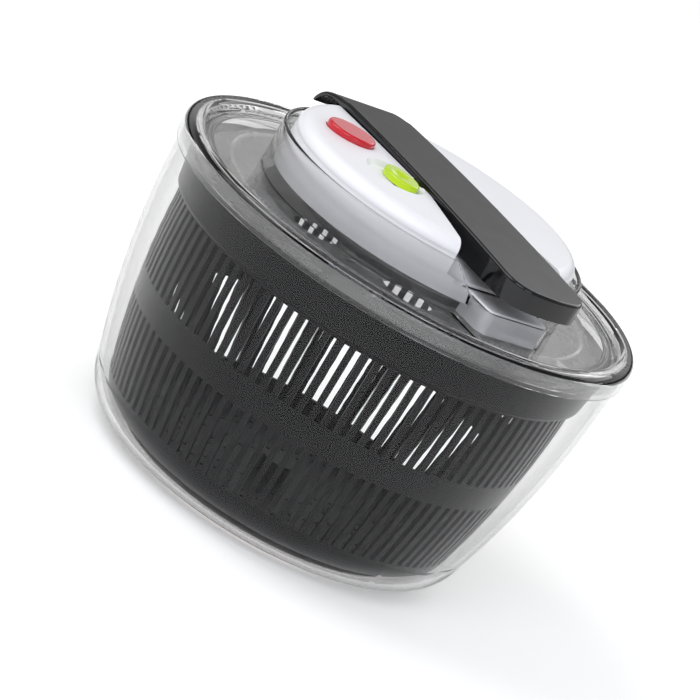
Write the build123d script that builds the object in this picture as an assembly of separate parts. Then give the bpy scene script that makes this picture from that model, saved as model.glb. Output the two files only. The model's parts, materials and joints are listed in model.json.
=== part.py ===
from build123d import *
import math
import os

# Salad spinner with a pump lever. Millimetres, +Z up, origin at the bottom centre.
# The lever lies along X with its hinge at -X and its tip at +X.

# Outer bowl
BOWL_WALL = 2.6
BOWL_TOP_Z = 149.8
BOWL_TOP_R = 122.9
BOWL_MID = (115.9, 71)
BOWL_CORNER = (104.5, 24)
BOWL_FLOOR_R = 82
BOWL_FLOOR_Z = 2.0
FOOT_INNER_R = 72
FOOT_OUTER_R = 80
FOOT_GROOVE = 1.0
PIVOT_R = 3.5
PIVOT_TOP_Z = 15

# Basket
BASKET_WALL = 2.0
BASKET_FLOOR_Z = 7.5
BASKET_FLOOR_R = 80
BASKET_CORNER = (97.3, 25.5)
BASKET_MID = (105.5, 66)
BAND_FOOT = (110, 120.5)
BAND_LOW = (113.2, 122.5)
BAND_TOP = (115.6, 140)
SLOT_COUNT = 100
SLOT_WIDTH = 3.4
UPPER_SLOTS = (78, 119)
LOWER_SLOTS = (24, 63.5)
FLOOR_HOLE_R = 1.3
FLOOR_HOLE_PITCH = 8.5
DRIVE_RIBS = 6
DRIVE_RIB_WIDTH = 4.5
SOCKET_R = 6

# Lid
LID_R = 125
LID_BOTTOM_Z = 141
LID_FLAT_Z = 148
LID_WALL = 2.4
COLLAR_INNER_R = 80.1
COLLAR_OUTER_R = 82.5
COLLAR_TOP_Z = 172.2
WELL_R = 54.4
WELL_FLOOR_Z = 144.2

# Housing
COVER_TOP_Z = 181
COVER_FOOT_R = 78
COVER_SHOULDER_R = 76.7
COVER_SHOULDER_Z = 172.5
COVER_FOOT_Z = 153.8
COVER_WALL = 2.2
BASE_RING_Z = 154
BASE_WALL = 2.0
BASE_RING_R = 75.6
NOSE_START_X = 71.8
NOSE_END_X = 93
NOSE_HALF_WIDTH = 19.5
NOSE_TOP_Z = 160.4
SLEEVE_GAP = 0.3
SLEEVE_WALL = 1.8
SLEEVE_TOP_Z = 159.6
NOSE_PAD_END_X = 108
NOSE_PAD_HALF_WIDTH = 27
NOSE_PAD_TOP_Z = 149
CHANNEL_HALF_WIDTH = 23.7
CHANNEL_FLOOR_Z = 176.6
CHANNEL_SKIN = 1.6
SCREW_CIRCLE_R = 68
SCREW_ANGLES = (45, 135, 205, 300)
LID_SCREW_R = 44
LID_SCREW_ANGLES = (10, 130, 262)

# Lever
LEVER_TAIL_X = -92
LEVER_TIP_X = 107.8
LEVER_TAIL_HALF_WIDTH = 21.5
LEVER_TIP_HALF_WIDTH = 24.6
LEVER_TIP_CORNER_X = 103.5
LEVER_TIP_CORNER_R = 14
LEVER_SKIRT_Z = 169.8
LEVER_EDGE_R = 1.4
LEVER_TOP_SKIN = 1.2
LEVER_TOP_MARGIN = 1.6
HINGE_X = -70
HINGE_Z = 170
HINGE_R = 2.0
RUNNING_GAP = 0.05

# Gear train, module 1, stub teeth
MODULE = 1.0
PRESSURE_ANGLE = math.radians(25)
ADDENDUM = 0.8
DEDENDUM = 1.0
BACKLASH = 0.12
CROSS_X = -30
CROSS_Z = 163
SECTOR_PINION_TEETH = 10
CROWN_TEETH = 18
TRANSFER_PINION_TEETH = 10
TRANSFER_TEETH = 40
CLUTCH_TEETH = 20
SHAFT_R = 2.0
SPINDLE_R = 4.0
SPUR_Z = (147, 150.4)
TRANSFER_PINION_Z = (152.2, 155.4)
SECTOR_Y = (-10, -5)
RATCHET_TEETH = 16
DRUM_R = 18.5
DRUM_Z = (164, 166.2)

# Brake and lock
BUTTON_CENTRE = (-27, -44)
BUTTON_AXES = (12.8, 11.2)
BUTTON_TOP_Z = 183.6
BUTTON_STEM_RADIUS = 3.0
BUTTON_TIP_RADIUS = 1.0
BUTTON_STEM_REACH = 47
BUTTON_SHELF_Z = (166.5, 168.5)
ARM_PIVOT_REACH = 34
ARM_Z = (156.5, 159.5)
DISH_CENTRE = (10, -39)
DISH_R = 16
DISH_FLOOR_R = 14
DISH_FLOOR_Z = 178.2
SLIDER_CENTRE = (10, -34.8)
SLIDER_AXES = (11.2, 8.4)
SLIDER_TOP_Z = 182

BUTTON_ANGLE = math.degrees(math.atan2(BUTTON_CENTRE[1], BUTTON_CENTRE[0]))


def revolved(*edges):
    """Closed outline in (radius, height), turned about Z."""
    return revolve(Plane.XZ * make_face(list(edges)), Axis.Z)


def lines(*points):
    return Polyline(*points)


def tube(outer, inner, low, high):
    solid = Pos(0, 0, low) * Cylinder(outer, high - low, align=BOTTOM)
    return solid - Pos(0, 0, low) * Cylinder(inner, high - low, align=BOTTOM)


def post(radius, low, high, x=0, y=0):
    return Pos(x, y, low) * Cylinder(radius, high - low, align=BOTTOM)


def block(x, y, z):
    """Box from three (low, high) pairs."""
    size = (x[1] - x[0], y[1] - y[0], z[1] - z[0])
    return Pos((x[0] + x[1]) / 2, (y[0] + y[1]) / 2, (z[0] + z[1]) / 2) * Box(*size)


def cross_rod(radius, x, z, low, high):
    """Cylinder along Y from low to high."""
    return Pos(x, (low + high) / 2, z) * Rot(90, 0, 0) * Cylinder(radius, high - low)


def side_prism(face, low, high):
    """Face drawn in X and Z, thickened along Y from low to high."""
    return extrude(Plane.XZ.offset(-high) * face, high - low)


def on_circle(radius, degrees):
    return radius * math.cos(math.radians(degrees)), radius * math.sin(math.radians(degrees))


def around(count, solid):
    return [Rot(0, 0, 360 / count * k) * solid for k in range(count)]


BOTTOM = (Align.CENTER, Align.CENTER, Align.MIN)


# ---------- gears ----------

def involute(angle):
    return math.tan(angle) - angle


def tooth_points(pitch_r, tooth_angle, steps=4):
    """One side of a tooth, from root to tip, as (radius, angle off the tooth's centre)."""
    base_r = pitch_r * math.cos(PRESSURE_ANGLE)
    root_r = pitch_r - DEDENDUM * MODULE
    tip_r = pitch_r + ADDENDUM * MODULE
    half = tooth_angle / 4 - BACKLASH / (2 * pitch_r) + involute(PRESSURE_ANGLE)
    start_r = max(base_r, root_r)
    flank = [start_r + (tip_r - start_r) * k / steps for k in range(steps + 1)]
    points = [(r, half - involute(math.acos(min(1, base_r / r)))) for r in flank]
    return [(root_r, points[0][1])] + points if root_r < base_r else points


def tooth_outline(pitch_r, tooth_angle, centre):
    side = tooth_points(pitch_r, tooth_angle)
    polar = [(r, centre - a) for r, a in side] + [(r, centre + a) for r, a in reversed(side)]
    return [(r * math.cos(a), r * math.sin(a)) for r, a in polar]


def gear(teeth, first_tooth, low, high):
    """Spur gear about Z. first_tooth is the angle of a tooth's centre in degrees."""
    pitch_r = teeth * MODULE / 2
    step = 2 * math.pi / teeth
    start = math.radians(first_tooth)
    outline = [p for k in range(teeth) for p in tooth_outline(pitch_r, step, start + k * step)]
    face = make_face(Polyline(*outline, close=True))
    return Pos(0, 0, low) * extrude(face, high - low)


def crown_teeth():
    """Radial teeth of the crown wheel, about Z, standing up from height zero."""
    pitch_r = CROWN_TEETH * MODULE / 2
    depth = 1.9
    tip_half = 0.24
    root_half = tip_half + depth * math.tan(PRESSURE_ANGLE)
    section = make_face(Polyline((-root_half, 0), (root_half, 0), (tip_half, depth),
                                 (-tip_half, depth), close=True))
    tooth = extrude(Plane.YZ.offset(pitch_r - 1) * section, 2.2)
    return around(CROWN_TEETH, tooth)


# ---------- bowl ----------

def outer_bowl():
    inner_mid = (BOWL_MID[0] - BOWL_WALL, BOWL_MID[1])
    inner_corner = (BOWL_CORNER[0] - BOWL_WALL, BOWL_CORNER[1] + 1)
    floor_top = BOWL_FLOOR_Z + BOWL_WALL
    shell = revolved(
        lines((0, floor_top), (0, BOWL_FLOOR_Z), (BOWL_FLOOR_R, BOWL_FLOOR_Z)),
        ThreePointArc((BOWL_FLOOR_R, BOWL_FLOOR_Z), (97.5, 9.5), BOWL_CORNER),
        ThreePointArc(BOWL_CORNER, BOWL_MID, (BOWL_TOP_R, BOWL_TOP_Z)),
        Line((BOWL_TOP_R, BOWL_TOP_Z), (BOWL_TOP_R - BOWL_WALL, BOWL_TOP_Z)),
        ThreePointArc((BOWL_TOP_R - BOWL_WALL, BOWL_TOP_Z), inner_mid, inner_corner),
        ThreePointArc(inner_corner, (95.4, 11.6), (BOWL_FLOOR_R - 1, floor_top)),
        Line((BOWL_FLOOR_R - 1, floor_top), (0, floor_top)),
    )
    return shell - tube(FOOT_OUTER_R, FOOT_INNER_R, BOWL_FLOOR_Z, BOWL_FLOOR_Z + FOOT_GROOVE)


def foot_ring():
    top = BOWL_FLOOR_Z + FOOT_GROOVE
    ring = tube(FOOT_OUTER_R, FOOT_INNER_R, 0, top)
    return fillet(ring.edges().group_by(Axis.Z)[0], 1.0)


def bowl_pivot():
    floor_top = BOWL_FLOOR_Z + BOWL_WALL
    flange = post(9, floor_top, floor_top + 1.5)
    dome = Pos(0, 0, PIVOT_TOP_Z - PIVOT_R) * Sphere(PIVOT_R)
    return flange + post(PIVOT_R, floor_top, PIVOT_TOP_Z - PIVOT_R) + dome


# ---------- basket ----------

def basket_shell():
    wall = BASKET_WALL
    floor_top = BASKET_FLOOR_Z + wall
    inner_foot = (BAND_FOOT[0] - wall, BAND_FOOT[1] + 1)
    inner_corner = (BASKET_CORNER[0] - wall, BASKET_CORNER[1] + 0.5)
    return revolved(
        lines((0, floor_top), (0, BASKET_FLOOR_Z), (BASKET_FLOOR_R, BASKET_FLOOR_Z)),
        ThreePointArc((BASKET_FLOOR_R, BASKET_FLOOR_Z), (91.6, 13.4), BASKET_CORNER),
        ThreePointArc(BASKET_CORNER, BASKET_MID, BAND_FOOT),
        ThreePointArc(BAND_FOOT, (112.2, 120.9), BAND_LOW),
        Line(BAND_LOW, BAND_TOP),
        ThreePointArc(BAND_TOP, (BAND_TOP[0] - wall / 2, BAND_TOP[1] + 0.6),
                      (BAND_TOP[0] - wall, BAND_TOP[1])),
        lines((BAND_TOP[0] - wall, BAND_TOP[1]), (BAND_LOW[0] - wall, BAND_LOW[1] + 2), inner_foot),
        ThreePointArc(inner_foot, (BASKET_MID[0] - wall, BASKET_MID[1]), inner_corner),
        ThreePointArc(inner_corner, (90.1, 14.8), (BASKET_FLOOR_R - 1, floor_top)),
        Line((BASKET_FLOOR_R - 1, floor_top), (0, floor_top)),
    )


def slot_row(low_r, high_r, heights):
    slot = block((low_r, high_r), (-SLOT_WIDTH / 2, SLOT_WIDTH / 2), heights)
    return around(SLOT_COUNT, slot)


def floor_holes():
    hole = Cylinder(FLOOR_HOLE_R, 3 * BASKET_WALL)
    holes = []
    for ring in range(3, 9):
        radius = ring * FLOOR_HOLE_PITCH
        count = 6 * ring
        for k in range(count):
            x, y = on_circle(radius, 360 / count * (k + ring % 2 / 2))
            holes.append(Pos(x, y, BASKET_FLOOR_Z + BASKET_WALL / 2) * hole)
    return holes


def basket():
    hub = post(8.5, BASKET_FLOOR_Z, PIVOT_TOP_Z + 3.5)
    rib = block((107.6, 112.6), (-DRIVE_RIB_WIDTH / 2, DRIVE_RIB_WIDTH / 2), (124.5, 137))
    solid = basket_shell() + hub + around(DRIVE_RIBS, rib)
    solid -= post(SOCKET_R, BASKET_FLOOR_Z, PIVOT_TOP_Z + 1.8)
    solid -= slot_row(101, 116, UPPER_SLOTS)
    solid -= slot_row(90, 112, LOWER_SLOTS)
    return solid - floor_holes()


def basket_socket():
    bore_r = PIVOT_R + RUNNING_GAP
    cup = post(SOCKET_R, BASKET_FLOOR_Z + 0.5, PIVOT_TOP_Z + 1.8)
    return cup - post(bore_r, BASKET_FLOOR_Z + 0.5, PIVOT_TOP_Z + 0.3)


# ---------- lid ----------

def lid_shell():
    under = LID_FLAT_Z - LID_WALL
    return revolved(
        lines((LID_R, LID_BOTTOM_Z), (LID_R, 149.2)),
        ThreePointArc((LID_R, 149.2), (123.4, 152.2), (119.8, 153)),
        ThreePointArc((119.8, 153), (115.6, 151.8), (113, LID_FLAT_Z + 0.6)),
        lines((113, LID_FLAT_Z + 0.6), (100, LID_FLAT_Z), (COLLAR_OUTER_R, LID_FLAT_Z),
              (COLLAR_OUTER_R + 0.4, COLLAR_TOP_Z - 1.2)),
        ThreePointArc((COLLAR_OUTER_R + 0.4, COLLAR_TOP_Z - 1.2), (81.7, COLLAR_TOP_Z),
                      (COLLAR_INNER_R + 0.4, COLLAR_TOP_Z - 1.2)),
        lines((COLLAR_INNER_R + 0.4, COLLAR_TOP_Z - 1.2), (COLLAR_INNER_R, LID_FLAT_Z),
              (WELL_R, LID_FLAT_Z), (WELL_R, WELL_FLOOR_Z), (7, WELL_FLOOR_Z),
              (7, WELL_FLOOR_Z - LID_WALL), (WELL_R + LID_WALL, WELL_FLOOR_Z - LID_WALL),
              (WELL_R + LID_WALL, under), (112.4, under + 0.4)),
        ThreePointArc((112.4, under + 0.4), (114.4, 148.6), (117.4, 150.2)),
        lines((117.4, 150.2), (117.4, 141.8), (119.4, 141.8), (119.4, BOWL_TOP_Z),
              (123.2, BOWL_TOP_Z), (123.2, LID_BOTTOM_Z), (LID_R, LID_BOTTOM_Z)),
    )


def nose_notch():
    """Opening in the collar for the nose, with sloping sides."""
    top = COLLAR_TOP_Z + 1
    half = NOSE_HALF_WIDTH + SLEEVE_GAP
    outline = Polyline((-half, LID_FLAT_Z), (half, LID_FLAT_Z), (half + 3, SLEEVE_TOP_Z), (36.5, top),
                       (-36.5, top), (-half - 3, SLEEVE_TOP_Z), (-half, LID_FLAT_Z), close=False)
    return extrude(Plane.YZ.offset(68) * make_face(outline), 20)


def nose_sleeve():
    """Clear wall that runs out from the collar round the nose."""
    def walls(grow, start_x):
        half = NOSE_HALF_WIDTH + grow
        solid = block((start_x, NOSE_END_X + grow), (-half, half), (LID_FLAT_Z, SLEEVE_TOP_Z))
        return fillet(solid.edges().filter_by(Axis.Z).group_by(Axis.X)[-1], 4 + grow)
    sleeve = walls(SLEEVE_GAP + SLEEVE_WALL, 76) - walls(SLEEVE_GAP, 60)
    return sleeve - post(COLLAR_INNER_R, LID_FLAT_Z, SLEEVE_TOP_Z)


def nose_pad():
    """Raised clear plate on the lid under and round the nose."""
    plate = block((60, NOSE_PAD_END_X), (-NOSE_PAD_HALF_WIDTH, NOSE_PAD_HALF_WIDTH),
                  (LID_FLAT_Z - 0.5, NOSE_PAD_TOP_Z))
    plate = fillet(plate.edges().filter_by(Axis.Z).group_by(Axis.X)[-1], 9)
    inside = NOSE_HALF_WIDTH + SLEEVE_GAP
    hollow = block((60, NOSE_END_X + SLEEVE_GAP), (-inside, inside), (LID_FLAT_Z, NOSE_PAD_TOP_Z + 1))
    return plate - hollow - post(COLLAR_OUTER_R, LID_FLAT_Z - 1, NOSE_PAD_TOP_Z + 1)


def lid():
    tail_notch = block((-90, -70), (-25, 25), (165, COLLAR_TOP_Z + 1))
    solid = lid_shell() - nose_notch() - tail_notch + nose_sleeve() + nose_pad()
    for angle in LID_SCREW_ANGLES:
        x, y = on_circle(LID_SCREW_R, angle)
        solid -= post(1.5, WELL_FLOOR_Z - LID_WALL, WELL_FLOOR_Z, x, y)
    return solid


def drive_disc():
    hub = post(12, 133, 141.2)
    web = post(106, 136.8, 138.8)
    ring = tube(110, 104, 133.5, 138.8)
    rib = block((13, 104.5), (-1, 1), (134.5, 137))
    notch = block((107, 112), (-DRIVE_RIB_WIDTH / 2 - 0.5, DRIVE_RIB_WIDTH / 2 + 0.5), (130, 142))
    square = block((-3, 3), (-3, 3), (130, 142))
    relief = [Rot(0, 0, 60 * k + 30) * post(14, 130, 142, 55) for k in range(6)]
    solid = hub + web + ring + around(6, rib) - relief
    return solid - around(DRIVE_RIBS, notch) - square


# ---------- housing ----------

def cup_outline(inset):
    """Outline of the cover's cup, moved inward by inset."""
    shoulder = (COVER_SHOULDER_R - inset, COVER_SHOULDER_Z - inset * 0.2)
    bend = (75.4 - inset * 0.85, 177.6 - inset * 0.7)
    crown = (70 - inset * 0.4, 180 - inset)
    top = (0, COVER_TOP_Z - inset)
    foot = (COVER_FOOT_R - inset, COVER_FOOT_Z)
    return revolved(
        lines((0, COVER_FOOT_Z), foot, shoulder),
        ThreePointArc(shoulder, bend, crown),
        ThreePointArc(crown, (36, COVER_TOP_Z - inset - 0.27), top),
        Line(top, (0, COVER_FOOT_Z)),
    )


def channel(grow, drop):
    """Space of the lever channel, widened by grow and deepened by drop."""
    w = CHANNEL_HALF_WIDTH + grow
    half = [(-100, w), (22, w), (58, w + 7.8), (80, w + 12.8), (110, w + 12.8)]
    mirror = [(x, -y) for x, y in reversed(half)]
    plan = extrude(make_face(Polyline(*half, *mirror, close=True)), 200)
    floor = CHANNEL_FLOOR_Z - drop
    pocket = 166 - drop
    side = Polyline((-100, 200), (-100, pocket), (-62 + grow, pocket), (-62 + grow, floor),
                    (15, floor), (58, 168 - drop), (NOSE_START_X - 0.3, 162.6 - drop),
                    (NOSE_START_X - 0.3, NOSE_TOP_Z + 0.2), (110, NOSE_TOP_Z + 0.2), (110, 200),
                    close=True)
    return plan & side_prism(make_face(side), -60, 60)


def button_oval(axes, low, high):
    rotation = Rot(0, 0, BUTTON_ANGLE)
    return Pos(*BUTTON_CENTRE, low) * rotation * extrude(Ellipse(*axes), high - low)


def stem_place():
    return on_circle(BUTTON_STEM_REACH, BUTTON_ANGLE)


def housing_cover():
    cup = cup_outline(0)
    cavity = cup_outline(COVER_WALL)
    solid = cup - cavity
    solid += (channel(2, CHANNEL_SKIN) & cavity & block((-90, NOSE_START_X - 0.3), (-60, 60), (150, 190)))
    well_axes = (BUTTON_AXES[0] + 2.2, BUTTON_AXES[1] + 2.2)
    solid += button_oval(well_axes, BUTTON_SHELF_Z[0], 179)
    solid += Pos(*DISH_CENTRE, 175.8) * Cylinder(DISH_R + 1.5, 3.6, align=BOTTOM)
    for angle in SCREW_ANGLES:
        solid += post(3.6, BASE_RING_Z + BASE_WALL, 178.6, *on_circle(SCREW_CIRCLE_R, angle))
    solid += tube(6.5, SPINDLE_R + RUNNING_GAP, 167, 176)
    solid -= channel(0, 0)
    lug = block((HINGE_X - 4, HINGE_X + 4), (17.2, 24.6), (165.5, 174.5))
    solid += [lug, mirror(lug, Plane.XZ)]
    for low, high in ((-14.5, -12), (10.5, 13)):
        solid += block((CROSS_X - 4, CROSS_X + 4), (low, high), (159, CHANNEL_FLOOR_Z - CHANNEL_SKIN + 0.5))
    return solid - cover_openings()


def cover_openings():
    cuts = [
        button_oval((BUTTON_AXES[0] + 0.4, BUTTON_AXES[1] + 0.4), BUTTON_SHELF_Z[1], 190),
        post(BUTTON_STEM_RADIUS + 0.3, 160, 175, *stem_place()),
        Pos(*DISH_CENTRE, DISH_FLOOR_Z) * Cone(DISH_FLOOR_R, DISH_R + 0.5, 3.2, align=BOTTOM),
        block((11.7, 16.3), (-42.5, -31), (174, 180)),
        block((-56, -33.5), (-11.5, -3.5), (170, 179)),
        block((-6, 9), (-22.6, -13.5), (170, 179)),
        block((NOSE_START_X - 0.3, 85), (-NOSE_HALF_WIDTH - 0.2, NOSE_HALF_WIDTH + 0.2),
              (150, NOSE_TOP_Z + 0.3)),
        cross_rod(SHAFT_R, CROSS_X, CROSS_Z, -14.5, 13),
        cross_rod(HINGE_R, HINGE_X, HINGE_Z, -24, 24),
    ]
    for angle in SCREW_ANGLES:
        cuts.append(post(1.4, BASE_RING_Z, 166, *on_circle(SCREW_CIRCLE_R, angle)))
    return cuts


def nose():
    y = NOSE_HALF_WIDTH
    outer = block((NOSE_START_X, NOSE_END_X), (-y, y), (LID_FLAT_Z, NOSE_TOP_Z))
    tall = outer.edges().filter_by(Axis.Z).group_by(Axis.X)[-1]
    outer = fillet(tall, 4)
    outer = fillet(outer.edges().group_by(Axis.Z)[-1], 0.8)
    hollow = block((NOSE_START_X + 2, NOSE_END_X - 2), (-y + 2, y - 2), (LID_FLAT_Z, NOSE_TOP_Z - 2))
    return outer - hollow


def arm_posts():
    place = Rot(0, 0, BUTTON_ANGLE) * Pos(ARM_PIVOT_REACH, 0, 0)
    posts = [place * block((-2.5, 2.5), (s * 6.3 - 1, s * 6.3 + 1), (146, 160)) for s in (-1, 1)]
    return posts


def brake_pin_solid(radius):
    place = Rot(0, 0, BUTTON_ANGLE) * Pos(ARM_PIVOT_REACH, 0, 158)
    return place * Rot(90, 0, 0) * Cylinder(radius, 14.6)


def housing_base():
    floor_top = WELL_FLOOR_Z + 1.8
    well_r = WELL_R - 0.4
    solid = revolved(lines(
        (7, WELL_FLOOR_Z), (well_r, WELL_FLOOR_Z), (well_r, BASE_RING_Z), (BASE_RING_R, BASE_RING_Z),
        (BASE_RING_R, BASE_RING_Z + BASE_WALL), (well_r - 2, BASE_RING_Z + BASE_WALL),
        (well_r - 2, floor_top), (7, floor_top), (7, WELL_FLOOR_Z)))
    solid -= block((NOSE_START_X, 80), (-NOSE_HALF_WIDTH + 1, NOSE_HALF_WIDTH - 1), (150, 158))
    solid += nose()
    solid += arm_posts()
    for angle in LID_SCREW_ANGLES:
        solid += post(3.4, floor_top, floor_top + 5, *on_circle(LID_SCREW_R, angle))
        solid -= post(1.5, WELL_FLOOR_Z, floor_top + 5, *on_circle(LID_SCREW_R, angle))
    for angle in SCREW_ANGLES:
        solid -= post(1.4, 150, 157, *on_circle(SCREW_CIRCLE_R, angle))
    solid -= post(SHAFT_R, WELL_FLOOR_Z, floor_top, CROSS_X, 0)
    return solid - brake_pin_solid(1.5)


def screw(head_z, tip_z, x, y):
    """Pan head screw. The head is under head_z and the shank runs up to tip_z."""
    head = post(2.9, head_z - 1.7, head_z, x, y)
    recess = Pos(x, y, head_z - 1.2) * (Box(3.4, 0.8, 1.2) + Box(0.8, 3.4, 1.2))
    return head + post(1.4, head_z, tip_z, x, y) - recess


def housing_screws():
    return Compound([screw(BASE_RING_Z, 164, *on_circle(SCREW_CIRCLE_R, a)) for a in SCREW_ANGLES])


def lid_screws():
    low = WELL_FLOOR_Z - LID_WALL
    return Compound([screw(low, 149.5, *on_circle(LID_SCREW_R, a)) for a in LID_SCREW_ANGLES])


# ---------- lever ----------

def lever_plan(inset, start_x):
    tail_w = LEVER_TAIL_HALF_WIDTH - inset
    tip_w = LEVER_TIP_HALF_WIDTH - inset
    tip_x = LEVER_TIP_X - inset
    corner_x = LEVER_TIP_CORNER_X - inset
    face = make_face([
        Line((start_x, -tail_w), (corner_x, -tip_w)),
        ThreePointArc((corner_x, -tip_w), (tip_x, 0), (corner_x, tip_w)),
        lines((corner_x, tip_w), (start_x, tail_w), (start_x, -tail_w)),
    ])
    tip_corners = face.vertices().filter_by_position(Axis.X, 90, 120)
    face = fillet(tip_corners, LEVER_TIP_CORNER_R - inset)
    tail_corners = face.vertices().filter_by_position(Axis.X, start_x - 1, start_x + 1)
    return extrude(fillet(tail_corners, 4), 200)


def lever_side():
    tail = (LEVER_TAIL_X, 171.6)
    shoulder = (-40, 184)
    tip_top = (LEVER_TIP_X, 180.4)
    tip_low = (LEVER_TIP_X, LEVER_SKIRT_Z)
    skirt = (72, LEVER_SKIRT_Z)
    shallow = (22, 177.6)
    under_tail = (-76, 179.8)
    tail_low = (-89.2, 171.6)
    return make_face([
        Spline(tail, (-85.5, 179.2), (-70, 182.9), shoulder, tangents=[(0.5, 1), (1, 0.01)]),
        Spline(shoulder, (30, 183.4), tip_top, tangents=[(1, 0.01), (1, -0.06)]),
        lines(tip_top, tip_low, skirt),
        Spline(skirt, (50, 172.6), shallow, tangents=[(-1, 0), (-1, 0.08)]),
        lines(shallow, (-10, 179.6), under_tail),
        ThreePointArc(under_tail, (-84.6, 177), tail_low),
        Line(tail_low, tail),
    ])


def lever_block():
    solid = lever_plan(0, LEVER_TAIL_X - 1) & side_prism(lever_side(), -30, 30)
    top_face = solid.faces().sort_by(Axis.Z)[-1]
    return fillet(top_face.edges(), LEVER_EDGE_R)


def lever_top():
    block_solid = lever_block()
    margin = LEVER_TOP_MARGIN
    return (block_solid - Pos(0, 0, -LEVER_TOP_SKIN) * block_solid) & lever_plan(margin, -86)


def lever_ears():
    ear = cross_rod(3.7, HINGE_X, HINGE_Z, 12.5, 16.8)
    web = block((HINGE_X - 3.7, HINGE_X + 3.7), (12.5, 16.8), (HINGE_Z, 181.5))
    right = ear + web
    return [right, mirror(right, Plane.XZ)]


def lever_hook():
    return [block((3, 7), (-22, -20), (170, 181)), block((3, 7), (-22, -15), (169.8, 171.6))]


def lever_body():
    solid = lever_block() - lever_top() + lever_ears() + lever_hook()
    return solid - cross_rod(HINGE_R + RUNNING_GAP, HINGE_X, HINGE_Z, -30, 30)


def sector_radius():
    reach = math.hypot(CROSS_X - HINGE_X, CROSS_Z - HINGE_Z)
    return reach - SECTOR_PINION_TEETH * MODULE / 2


def mesh_angle():
    """Direction from the lever's hinge to the cross shaft, in degrees above +X."""
    return math.degrees(math.atan2(CROSS_Z - HINGE_Z, CROSS_X - HINGE_X))


def lever_sector():
    pitch_r = sector_radius()
    step = MODULE / pitch_r
    tooth_angle = math.pi * step
    root_r = pitch_r - DEDENDUM * MODULE
    low, high = math.radians(-32), math.radians(1)
    rim = make_face([
        Line((27 * math.cos(low), 27 * math.sin(low)), (root_r * math.cos(low), root_r * math.sin(low))),
        CenterArc((0, 0), root_r, math.degrees(low), math.degrees(high - low)),
        Line((root_r * math.cos(high), root_r * math.sin(high)), (27 * math.cos(high), 27 * math.sin(high))),
        CenterArc((0, 0), 27, math.degrees(low), math.degrees(high - low)),
    ])
    solid = extrude(rim, SECTOR_Y[1] - SECTOR_Y[0])
    for k in range(-4, 2):
        centre = math.radians(mesh_angle()) + (k + 0.5) * tooth_angle
        points = tooth_outline(pitch_r, tooth_angle, centre)
        inside = (0.97 * root_r * math.cos(centre), 0.97 * root_r * math.sin(centre))
        tooth = make_face(Polyline(*points, inside, close=True))
        solid += extrude(tooth, SECTOR_Y[1] - SECTOR_Y[0])
    solid = Pos(HINGE_X, SECTOR_Y[1], HINGE_Z) * Rot(90, 0, 0) * solid
    web = block((-51, -41), SECTOR_Y, (158, 179.2))
    foot = block((-54, -38), (SECTOR_Y[0] - 0.8, SECTOR_Y[1] + 0.8), (178.2, 179.6))
    return solid + web + foot


def hinge_pin():
    return cross_rod(HINGE_R, HINGE_X, HINGE_Z, -24, 24)


def coil(radius, wire, pitch, turns):
    """Coil spring about Z, standing on height zero plus its wire radius."""
    path = Helix(pitch=pitch, height=pitch * turns, radius=radius)
    start = Plane(origin=path @ 0, z_dir=path % 0)
    return sweep(start * Circle(wire), path=path)


def hinge_spring():
    length = 1.1 * 15
    return Pos(HINGE_X, length / 2, HINGE_Z) * Rot(90, 0, 0) * coil(2.9, 0.4, 1.1, 15)


# ---------- gear train ----------

def crown_gear():
    pinion = gear(SECTOR_PINION_TEETH, mesh_angle() + 180, 4.4, 11)
    hub = post(3.4, -6.4, 4.4)
    wheel = post(CROWN_TEETH * MODULE / 2 + 1.2, -8.6, -6.1)
    teeth = [Pos(0, 0, -6.1) * Rot(0, 0, 90) * tooth for tooth in crown_teeth()]
    bored = pinion + hub + wheel + teeth - post(SHAFT_R + RUNNING_GAP, -12, 12)
    return Pos(CROSS_X, 0, CROSS_Z) * Rot(90, 0, 0) * bored


def cross_shaft():
    return cross_rod(SHAFT_R, CROSS_X, CROSS_Z, -14.5, 13)


def transfer_gear():
    spur = gear(TRANSFER_TEETH, 0, *SPUR_Z)
    pinion = gear(TRANSFER_PINION_TEETH, 90 + 180 / TRANSFER_PINION_TEETH, *TRANSFER_PINION_Z)
    neck = post(3.6, SPUR_Z[1], TRANSFER_PINION_Z[0])
    bore = post(SHAFT_R + RUNNING_GAP, 140, 160)
    relief = [Rot(0, 0, 60 * k) * post(4, 140, 160, 13) for k in range(6)]
    solid = spur - relief + neck + pinion
    return Pos(CROSS_X, 0, 0) * (solid - bore)


def transfer_pin():
    return post(SHAFT_R, WELL_FLOOR_Z, 158.5, CROSS_X, 0)


def ratchet_bore():
    """Inside of the ratchet ring: saw teeth that drive one way only."""
    step = 360 / RATCHET_TEETH
    points = []
    for k in range(RATCHET_TEETH):
        points.append(on_circle(11.8, k * step))
        points.append(on_circle(12.8, k * step + 0.01))
    return Pos(0, 0, 152.2) * extrude(make_face(Polyline(*points, close=True)), 6)


def clutch_gear():
    spur = gear(CLUTCH_TEETH, 180 + 180 / CLUTCH_TEETH, *SPUR_Z)
    neck = post(8, SPUR_Z[1], 151)
    ring = post(14, 151, 156.8) - ratchet_bore()
    return spur + neck + ring - post(SPINDLE_R + RUNNING_GAP, 140, 160)


def clutch_pawls():
    hub = tube(7, SPINDLE_R, 152.6, 156.4)
    arm_face = make_face([
        ThreePointArc((6.6, 0), (8.2, 4.6), (6.6, 9)),
        Line((6.6, 9), (7.9, 8.2)),
        ThreePointArc((7.9, 8.2), (9.6, 4.4), (6.9, -1.5)),
        Line((6.9, -1.5), (6.6, 0)),
    ])
    arm = Pos(0, 0, 152.6) * extrude(arm_face, 3.8)
    return hub + arm + Rot(0, 0, 180) * arm


def output_spindle():
    square = block((-3, 3), (-3, 3), (129.8, 141.3))
    return square + post(SPINDLE_R, 141.3, 172.5) + post(2.4, 127, 129.8)


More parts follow.
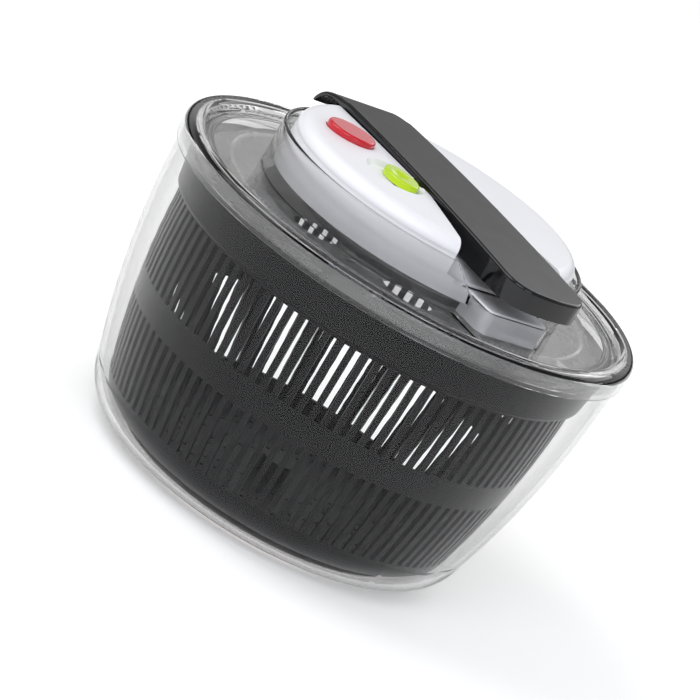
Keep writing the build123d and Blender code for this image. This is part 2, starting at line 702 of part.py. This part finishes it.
def spindle_bush():
    sleeve = tube(7, SPINDLE_R + RUNNING_GAP, WELL_FLOOR_Z - LID_WALL, 146.5)
    return sleeve + tube(9, SPINDLE_R + RUNNING_GAP, 146, 146.5)


def spindle_nut():
    nut = Pos(0, 0, 127.6) * extrude(RegularPolygon(6.5, 6), 5.4)
    return nut - block((-3, 3), (-3, 3), (129.8, 134)) - post(2.4, 120, 135)


def brake_drum():
    disc = post(DRUM_R, *DRUM_Z)
    hub = post(7, 157.4, DRUM_Z[1] + 0.4)
    return disc + hub - post(SPINDLE_R, 150, 170)


# ---------- brake and lock ----------

def brake_button():
    cap = button_oval(BUTTON_AXES, 176.6, BUTTON_TOP_Z)
    cap = fillet(cap.edges().group_by(Axis.Z)[-1], 1.4)
    stem = post(BUTTON_STEM_RADIUS, 162.5, 177, *stem_place())
    return cap + stem + post(BUTTON_TIP_RADIUS, 159.8, 162.5, *stem_place())


def button_spring():
    pitch = 1.55
    turns = 4.5
    wire = 0.35
    x, y = stem_place()
    return Pos(x, y, BUTTON_SHELF_Z[1] + wire) * coil(4.2, wire, pitch, turns)


def brake_arm():
    low, high = ARM_Z
    bar = block((15.2, 50.6), (-4, 4), (low, high))
    barrel = Pos(ARM_PIVOT_REACH, 0, 158) * Rot(90, 0, 0) * Cylinder(3, 8)
    bore = Pos(ARM_PIVOT_REACH, 0, 158) * Rot(90, 0, 0) * Cylinder(1.5 + RUNNING_GAP, 12)
    return Rot(0, 0, BUTTON_ANGLE) * (bar + barrel - bore)


def brake_pad():
    pad = block((15.4, 18.4), (-4, 4), (ARM_Z[1], ARM_Z[1] + 1.6))
    return Rot(0, 0, BUTTON_ANGLE) * pad


def brake_arm_pin():
    return brake_pin_solid(1.5)


def lock_slider():
    x, y = SLIDER_CENTRE
    low = DISH_FLOOR_Z + 0.3
    tab = Pos(x, y, low) * extrude(Ellipse(*SLIDER_AXES), SLIDER_TOP_Z - low)
    tab = fillet(tab.edges().group_by(Axis.Z)[-1], 1.2)
    grip_hollow = Pos(x, y - 2, SLIDER_TOP_Z + 8.6) * Sphere(10)
    neck = block((12, 16), (-37, -31.5), (172, 179))
    arm = block((12, 16), (-37, -11), (172, 173.5))
    tongue = block((2, 16), (-14, -11), (172, 173.5))
    return tab - grip_hollow + neck + arm + tongue


def lock_detent():
    return block((8, 20), (-44.4, -44), (172, 175.8))


NODES = {
    "outer_bowl": outer_bowl, "foot_ring": foot_ring, "bowl_pivot": bowl_pivot,
    "basket": basket, "basket_socket": basket_socket,
    "lid": lid, "housing_base": housing_base, "housing_cover": housing_cover,
    "housing_screws": housing_screws, "lid_screws": lid_screws,
    "lever_body": lever_body, "lever_top": lever_top, "lever_sector": lever_sector,
    "hinge_pin": hinge_pin, "hinge_spring": hinge_spring,
    "crown_gear": crown_gear, "cross_shaft": cross_shaft,
    "transfer_gear": transfer_gear, "transfer_pin": transfer_pin,
    "clutch_gear": clutch_gear, "clutch_pawls": clutch_pawls,
    "output_spindle": output_spindle, "spindle_bush": spindle_bush, "spindle_nut": spindle_nut,
    "brake_drum": brake_drum, "drive_disc": drive_disc,
    "brake_button": brake_button, "button_spring": button_spring,
    "brake_arm": brake_arm, "brake_pad": brake_pad, "brake_arm_pin": brake_arm_pin,
    "lock_slider": lock_slider, "lock_detent": lock_detent,
}


def main():
    os.makedirs("parts", exist_ok=True)
    for name, make in NODES.items():
        export_step(make(), f"parts/{name}.step")


if __name__ == "__main__":
    main()
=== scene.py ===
import json
import math

import bpy
from mathutils import Matrix, Vector


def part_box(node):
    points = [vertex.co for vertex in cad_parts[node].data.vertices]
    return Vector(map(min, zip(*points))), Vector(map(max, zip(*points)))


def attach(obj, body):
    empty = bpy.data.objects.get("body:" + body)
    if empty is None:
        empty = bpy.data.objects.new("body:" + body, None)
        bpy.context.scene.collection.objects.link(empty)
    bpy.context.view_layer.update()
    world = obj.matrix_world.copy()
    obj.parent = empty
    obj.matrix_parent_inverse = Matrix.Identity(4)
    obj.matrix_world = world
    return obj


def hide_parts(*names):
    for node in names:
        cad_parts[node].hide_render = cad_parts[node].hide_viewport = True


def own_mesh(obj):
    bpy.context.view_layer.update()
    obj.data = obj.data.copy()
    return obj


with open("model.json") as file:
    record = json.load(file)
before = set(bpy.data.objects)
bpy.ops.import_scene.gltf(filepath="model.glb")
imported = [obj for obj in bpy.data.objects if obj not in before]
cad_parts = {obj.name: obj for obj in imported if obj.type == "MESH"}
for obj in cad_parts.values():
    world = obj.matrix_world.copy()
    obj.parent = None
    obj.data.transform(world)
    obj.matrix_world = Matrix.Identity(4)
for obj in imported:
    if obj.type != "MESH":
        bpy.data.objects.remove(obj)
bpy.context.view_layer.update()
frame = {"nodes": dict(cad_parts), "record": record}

NODES = frame["nodes"]

# Camera: where it stands, as seen from the middle of the lid's rim
RIM_CENTRE = Vector((0, 0, 0.141))
VIEW_AZIMUTH = math.radians(47)
VIEW_ELEVATION = math.radians(14.8)
VIEW_DISTANCE = 1.942
VIEW_TILT = math.radians(1.575)
VIEW_PAN = math.radians(0.07)
VIEW_ROLL = math.radians(31)
LENS_MM = 205.7
SENSOR_MM = 36
CLIP_END = 50

# Studio: a wide bright floor, and a world that is brightest just above the horizon
FLOOR_RADIUS = 7
FLOOR_WHITE = (0.93, 0.93, 0.93, 1)
FLOOR_GLOW = 0.34
WORLD_STOPS = ((0.0, 0.05), (0.10, 0.12), (0.20, 0.80),
               (0.30, 0.80), (0.42, 0.36), (1.0, 0.34))   # height, brightness
BODY_AIM = (0, 0, 0.1)
HOUSING_AIM = (0, 0, 0.12)

# Plastic: distance that full grain stands out, and the scales of its three noises
GRAIN_DEPTH = 0.0003
MOTTLE_SCALE = 18
GLOSS_SCALE = 60
GRAIN_SCALE = 900
COAT_ROUGHNESS = 0.03

# Clear plastic: its surface waves, and how far it must turn from the eye before painted
# shade darkens its colour
WAVE_SCALE = 14
WAVE_DEPTH = 0.0005
WAVE_STRENGTH = 0.05
EDGE_SHADE_START = 0.45

# Lid: its flat ring, the beads on it and the fine ring under it
LID_FLAT_Z = 0.148
LID_BEADS = (0.1115, 0.1095)
BEAD_WIDTH = 0.0009
BEAD_RISE = 0.0007
BEAD_SINK = 0.0002
BEAD_ARCS = 8
BEAD_STEPS = 240
ROPE_R = 0.0975
ROPE_DROP = 0.0038
ROPE_THICK = 0.0009
ROPE_SWELL = 0.3
ROPE_WAVES = 180
ROPE_STEPS = 1440
TUBE_SIDES = 8

# Spring under the button
SPRING_WIRE = 0.00035
SPRING_TURNS = 4.5
SPRING_STEPS_PER_TURN = 28


# ---------- camera, light and floor ----------

def make_camera():
    data = bpy.data.cameras.new("camera")
    data.lens = LENS_MM
    data.sensor_width = SENSOR_MM
    data.clip_end = CLIP_END
    camera = bpy.data.objects.new("camera", data)
    bpy.context.scene.collection.objects.link(camera)
    flat = math.cos(VIEW_ELEVATION)
    away = Vector((math.sin(VIEW_AZIMUTH) * flat, -math.cos(VIEW_AZIMUTH) * flat,
                   math.sin(VIEW_ELEVATION)))
    aim = (-away).to_track_quat("-Z", "Y").to_matrix().to_4x4()
    turn = (Matrix.Rotation(-VIEW_PAN, 4, "Y") @ Matrix.Rotation(-VIEW_TILT, 4, "X")
            @ Matrix.Rotation(VIEW_ROLL, 4, "Z"))
    camera.matrix_world = Matrix.Translation(RIM_CENTRE + away * VIEW_DISTANCE) @ aim @ turn
    bpy.context.scene.camera = camera


def area_light(name, place, target, size, power, colour=(1, 1, 1)):
    data = bpy.data.lights.new(name, "AREA")
    data.shape = "RECTANGLE"
    data.size, data.size_y = size
    data.energy = power
    data.color = colour
    light = bpy.data.objects.new(name, data)
    light.location = place
    aim = Vector(target) - Vector(place)
    light.rotation_euler = aim.to_track_quat("-Z", "Y").to_euler()
    bpy.context.scene.collection.objects.link(light)


def make_world():
    world = bpy.data.worlds.new("studio")
    bpy.context.scene.world = world
    world.use_nodes = True
    tree = world.node_tree
    coords = tree.nodes.new("ShaderNodeTexCoord")
    split = tree.nodes.new("ShaderNodeSeparateXYZ")
    ramp = tree.nodes.new("ShaderNodeValToRGB")
    background = tree.nodes["Background"]
    tree.links.new(coords.outputs["Generated"], split.inputs[0])
    tree.links.new(split.outputs["Z"], ramp.inputs[0])
    tree.links.new(ramp.outputs[0], background.inputs["Color"])
    elements = ramp.color_ramp.elements
    while len(elements) < len(WORLD_STOPS):
        elements.new(0.5)
    for element, (position, value) in zip(elements, WORLD_STOPS):
        element.position = position
        element.color = (value, value, value, 1)
    background.inputs["Strength"].default_value = 1.0


def make_floor():
    bpy.ops.mesh.primitive_circle_add(vertices=96, radius=FLOOR_RADIUS, fill_type="NGON",
                                      location=(0, 0, 0))
    floor = bpy.context.object
    floor.name = "floor"
    material = bpy.data.materials.new("floor")
    material.use_nodes = True
    shader = material.node_tree.nodes["Principled BSDF"]
    shader.inputs["Base Color"].default_value = FLOOR_WHITE
    shader.inputs["Roughness"].default_value = 0.9
    shader.inputs["Specular IOR Level"].default_value = 0.0
    shader.inputs["Emission Color"].default_value = (1, 1, 1, 1)
    shader.inputs["Emission Strength"].default_value = FLOOR_GLOW
    floor.data.materials.append(material)


def make_studio():
    make_world()
    make_floor()
    area_light("key", (-0.9, -1.3, 1.7), BODY_AIM, (1.6, 1.6), power=22)
    area_light("fill", (1.8, -0.4, 0.9), BODY_AIM, (0.9, 1.4), power=6,
               colour=(0.88, 0.92, 1.0))
    area_light("back", (-0.4, 1.6, 1.3), HOUSING_AIM, (1.8, 1.0), power=10)
    area_light("front", (1.1, -1.5, 1.5), HOUSING_AIM, (1.1, 1.1), power=14,
               colour=(0.93, 0.95, 1.0))
    bpy.context.scene.view_settings.view_transform = "Standard"


# ---------- materials ----------

def new_material(name):
    material = bpy.data.materials.new(name)
    material.use_nodes = True
    return material, material.node_tree, material.node_tree.nodes["Principled BSDF"]


def noise(tree, scale, detail=3.0):
    coords = tree.nodes.new("ShaderNodeTexCoord")
    texture = tree.nodes.new("ShaderNodeTexNoise")
    texture.inputs["Scale"].default_value = scale
    texture.inputs["Detail"].default_value = detail
    tree.links.new(coords.outputs["Object"], texture.inputs["Vector"])
    return texture.outputs["Fac"]


def ranged(tree, value, low, high):
    """Value from 0 to 1 spread over low to high."""
    node = tree.nodes.new("ShaderNodeMapRange")
    node.inputs["To Min"].default_value = low
    node.inputs["To Max"].default_value = high
    tree.links.new(value, node.inputs["Value"])
    return node.outputs["Result"]


def bump(tree, shader, height, strength, distance):
    node = tree.nodes.new("ShaderNodeBump")
    node.inputs["Strength"].default_value = strength
    node.inputs["Distance"].default_value = distance
    tree.links.new(height, node.inputs["Height"])
    tree.links.new(node.outputs["Normal"], shader.inputs["Normal"])


def two_tones(tree, shader, fac, first, second):
    ramp = tree.nodes.new("ShaderNodeValToRGB")
    ramp.color_ramp.elements[0].position = 0.3
    ramp.color_ramp.elements[1].position = 0.7
    ramp.color_ramp.elements[0].color = (*first, 1)
    ramp.color_ramp.elements[1].color = (*second, 1)
    tree.links.new(fac, ramp.inputs[0])
    tree.links.new(ramp.outputs[0], shader.inputs["Base Color"])


def plastic(name, dark, light, rough, grain=0.02, coat=0.0, shine=0.5):
    """Moulded plastic: slight mottling, fine grain and uneven gloss."""
    material, tree, shader = new_material(name)
    two_tones(tree, shader, noise(tree, MOTTLE_SCALE), dark, light)
    gloss = ranged(tree, noise(tree, GLOSS_SCALE), *rough)
    tree.links.new(gloss, shader.inputs["Roughness"])
    bump(tree, shader, noise(tree, GRAIN_SCALE), grain, GRAIN_DEPTH)
    shader.inputs["Specular IOR Level"].default_value = shine
    shader.inputs["Coat Weight"].default_value = coat
    shader.inputs["Coat Roughness"].default_value = COAT_ROUGHNESS
    return material


def painted_edge_shade(tree, clear, edge):
    """Colour of a clear wall: clear face on, with painted shade where it is seen edge on,
    standing in for the dark edges that refraction gives.
    """
    weight = tree.nodes.new("ShaderNodeLayerWeight")
    weight.inputs["Blend"].default_value = 0.5
    # Painted shade: the colour runs from the clear value face on to the dark edge value edge
    # on.
    ramp = tree.nodes.new("ShaderNodeValToRGB")
    ramp.color_ramp.elements[0].position = EDGE_SHADE_START
    ramp.color_ramp.elements[0].color = (clear, clear, clear, 1)
    ramp.color_ramp.elements[1].position = 1.0
    ramp.color_ramp.elements[1].color = (edge, edge, edge, 1)
    tree.links.new(weight.outputs["Facing"], ramp.inputs[0])
    return ramp.outputs[0]


def clear_plastic(name, clear, edge, rough, ior):
    """Clear moulding: edge on, painted shade darkens its colour, and its surface waves a
    little.
    """
    material, tree, shader = new_material(name)
    # Base colour carries painted shade: darker where the wall turns edge on to the eye.
    tree.links.new(painted_edge_shade(tree, clear, edge), shader.inputs["Base Color"])
    tree.links.new(ranged(tree, noise(tree, 30), *rough), shader.inputs["Roughness"])
    shader.inputs["Transmission Weight"].default_value = 1.0
    shader.inputs["IOR"].default_value = ior
    bump(tree, shader, noise(tree, WAVE_SCALE, detail=1.0), WAVE_STRENGTH, WAVE_DEPTH)
    return material


def steel(name):
    material, tree, shader = new_material(name)
    two_tones(tree, shader, noise(tree, 300), (0.5, 0.5, 0.52), (0.68, 0.68, 0.7))
    shader.inputs["Metallic"].default_value = 1.0
    tree.links.new(ranged(tree, noise(tree, 200), 0.18, 0.34), shader.inputs["Roughness"])
    return material


def make_materials():
    clears = {
        # edge is the painted shade each clear wall takes where it is seen edge on.
        "clear_bowl": dict(clear=0.97, edge=0.28, rough=(0.0, 0.012), ior=1.2),
        "clear_lid": dict(clear=0.93, edge=0.46, rough=(0.0, 0.02), ior=1.38),
        "clear_disc": dict(clear=0.84, edge=0.45, rough=(0.22, 0.32), ior=1.35),
    }
    plastics = {
        "dark_plastic": dict(dark=(0.005, 0.005, 0.006), light=(0.008, 0.008, 0.009),
                             rough=(0.26, 0.36), grain=0.002, shine=0.16),
        "white_plastic": dict(dark=(0.90, 0.90, 0.94), light=(0.92, 0.92, 0.96),
                              rough=(0.25, 0.4), grain=0.006),
        "white_inner": dict(dark=(0.74, 0.74, 0.70), light=(0.8, 0.8, 0.77),
                            rough=(0.4, 0.55)),
        "black_gloss": dict(dark=(0.003, 0.003, 0.004), light=(0.005, 0.005, 0.006),
                            rough=(0.05, 0.1), grain=0.003, shine=0.45),
        "grey_satin": dict(dark=(0.018, 0.018, 0.020), light=(0.023, 0.023, 0.025),
                           rough=(0.36, 0.44), grain=0.01, shine=0.42),
        "red_gloss": dict(dark=(0.55, 0.008, 0.02), light=(0.66, 0.012, 0.03),
                          rough=(0.1, 0.18), grain=0.004, coat=0.15),
        "lime_gloss": dict(dark=(0.46, 0.68, 0.0), light=(0.54, 0.76, 0.004),
                           rough=(0.15, 0.25), grain=0.006, coat=0.2),
        "foot": dict(dark=(0.72, 0.66, 0.65), light=(0.8, 0.75, 0.74), rough=(0.5, 0.65)),
        "brake_rubber": dict(dark=(0.02, 0.02, 0.02), light=(0.035, 0.035, 0.035),
                             rough=(0.6, 0.8)),
    }
    materials = {name: clear_plastic(name, **look) for name, look in clears.items()}
    materials.update({name: plastic(name, **look) for name, look in plastics.items()})
    materials["steel"] = steel("steel")
    return materials


def dress_nodes(materials):
    """Every CAD node takes the material of its slot in the record."""
    slots = {part["node"]: part["material_slot"] for part in frame["record"]["subparts"]}
    for name, node in NODES.items():
        node.data.materials.clear()
        node.data.materials.append(materials[slots[name]])


# ---------- fine details: the rings on the lid and the button spring ----------

def new_piece(name, mesh, material, body):
    for polygon in mesh.polygons:
        polygon.use_smooth = True
    mesh.materials.append(material)
    piece = bpy.data.objects.new(name, mesh)
    bpy.context.scene.collection.objects.link(piece)
    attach(piece, body)
    return piece


def new_mesh(name, points, faces):
    mesh = bpy.data.meshes.new(name)
    mesh.from_pydata(points, [], faces)
    return mesh


def ring_faces(steps, sides):
    """Faces of a tube that closes on itself: outline after outline, sides points in each."""
    return [(k * sides + j, (k + 1) % steps * sides + j,
             (k + 1) % steps * sides + (j + 1) % sides, k * sides + (j + 1) % sides)
            for k in range(steps) for j in range(sides)]


def bead_ring(name, radius, height):
    """Low rounded bead that stands on the lid, swept round Z."""
    turns = [math.pi * k / BEAD_ARCS for k in range(BEAD_ARCS + 1)]
    outline = [(radius + BEAD_WIDTH * math.cos(a), height + BEAD_RISE * math.sin(a))
               for a in turns]
    points = []
    for k in range(BEAD_STEPS):
        angle = 2 * math.pi * k / BEAD_STEPS
        points += [(r * math.cos(angle), r * math.sin(angle), z) for r, z in outline]
    return new_mesh(name, points, ring_faces(BEAD_STEPS, len(outline)))


def rope_ring(name, radius, height):
    """Fine ring whose surface swells and thins like a rope."""
    points = []
    for k in range(ROPE_STEPS):
        angle = 2 * math.pi * k / ROPE_STEPS
        for j in range(TUBE_SIDES):
            turn = 2 * math.pi * j / TUBE_SIDES
            swell = ROPE_THICK * (1 + ROPE_SWELL * math.cos(ROPE_WAVES * angle + turn))
            r = radius + swell * math.cos(turn)
            points.append((r * math.cos(angle), r * math.sin(angle),
                           height + swell * math.sin(turn)))
    return new_mesh(name, points, ring_faces(ROPE_STEPS, TUBE_SIDES))


def make_lid_details(materials):
    clear = materials["clear_lid"]
    for radius in LID_BEADS:
        name = f"lid_bead_{radius * 1000:.0f}"
        bead = bead_ring(name, radius, LID_FLAT_Z - BEAD_SINK)
        new_piece(name, bead, clear, "lid_body")
    rope = rope_ring("lid_rope", ROPE_R, LID_FLAT_Z - ROPE_DROP)
    new_piece("lid_rope", rope, clear, "lid_body")


def make_button_spring(materials):
    """Coil between the housing's shelf and the button, which shortens at a press; here it is
    built at one fixed length.
    """
    low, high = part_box("button_spring")
    centre = (low + high) / 2
    radius = (high.x - low.x) / 2 - SPRING_WIRE
    rise = high.z - low.z - 2 * SPRING_WIRE
    steps, sides = int(SPRING_TURNS * SPRING_STEPS_PER_TURN), TUBE_SIDES
    points = []
    for k in range(steps + 1):
        angle = 2 * math.pi * SPRING_TURNS * k / steps
        for j in range(sides):
            turn = 2 * math.pi * j / sides
            reach = radius + SPRING_WIRE * math.cos(turn)
            climb = rise * k / steps + SPRING_WIRE * math.sin(turn)
            points.append((centre.x + reach * math.cos(angle),
                           centre.y + reach * math.sin(angle),
                           low.z + SPRING_WIRE + climb))
    faces = [(k * sides + j, k * sides + (j + 1) % sides,
              (k + 1) * sides + (j + 1) % sides, (k + 1) * sides + j)
             for k in range(steps) for j in range(sides)]
    faces.append(tuple(range(sides)))
    faces.append(tuple(reversed(range(steps * sides, (steps + 1) * sides))))
    coil = new_mesh("press_spring", points, faces)
    spring = new_piece("press_spring", coil, materials["steel"], "lid_body")
    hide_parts("button_spring")
    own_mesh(spring)


def main():
    make_camera()
    make_studio()
    materials = make_materials()
    dress_nodes(materials)
    make_lid_details(materials)
    make_button_spring(materials)


main()
